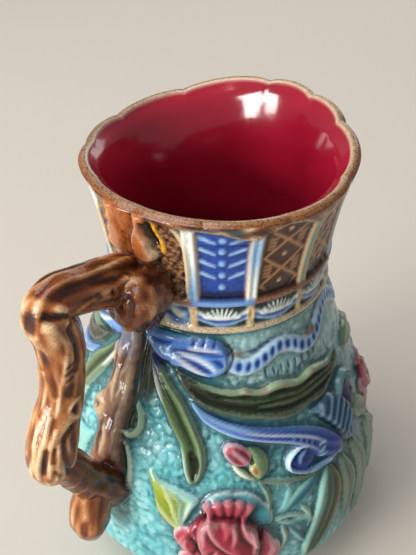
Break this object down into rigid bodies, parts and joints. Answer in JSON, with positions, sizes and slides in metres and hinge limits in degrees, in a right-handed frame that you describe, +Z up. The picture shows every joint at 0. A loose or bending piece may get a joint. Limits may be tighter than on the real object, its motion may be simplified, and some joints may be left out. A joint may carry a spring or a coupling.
{
  "type": "majolica pitcher",
  "caption": "Glazed earthenware jug with carved leaves and a blossom, a panelled neck, a scalloped mouth and a branch-shaped handle.",
  "frame": {"origin": "middle of the flat underside, on the axis of the body", "axes": "+Z up along the body's axis, handle at -X, mouth rising towards +X"},
  "size_m": [0.1902, 0.1512, 0.214],
  "materials": {
    "glaze": "glossy coloured majolica glazes: turquoise ground, brown branch and lip, blue and green carving, crimson blossom and inside"
  },
  "bodies": {
    "root": {"pitcher": "glaze"}
  },
  "joints": []
}
